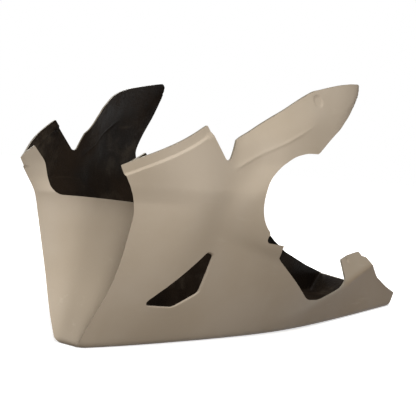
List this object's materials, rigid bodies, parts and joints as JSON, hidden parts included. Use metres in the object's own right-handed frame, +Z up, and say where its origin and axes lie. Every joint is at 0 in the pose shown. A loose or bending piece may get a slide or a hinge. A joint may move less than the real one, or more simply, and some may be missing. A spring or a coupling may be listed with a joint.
{
  "type": "motorbike lower fairing",
  "caption": "One-piece moulded lower fairing with a flat belly, set-back front wall, rising side arms, flank vents, a round engine cover cut-out and a low oil dam at the tail.",
  "frame": {"origin": "centre of the bounding box on the belly's underside", "axes": "+X from the nose to the tail, +Y to the rider's right, +Z up"},
  "size_m": [0.9056, 0.4463, 0.425],
  "materials": {
    "gelcoat": "satin gelcoat outside, raw laminate inside"
  },
  "bodies": {
    "root": {"fairing_shell": "gelcoat"}
  },
  "joints": []
}
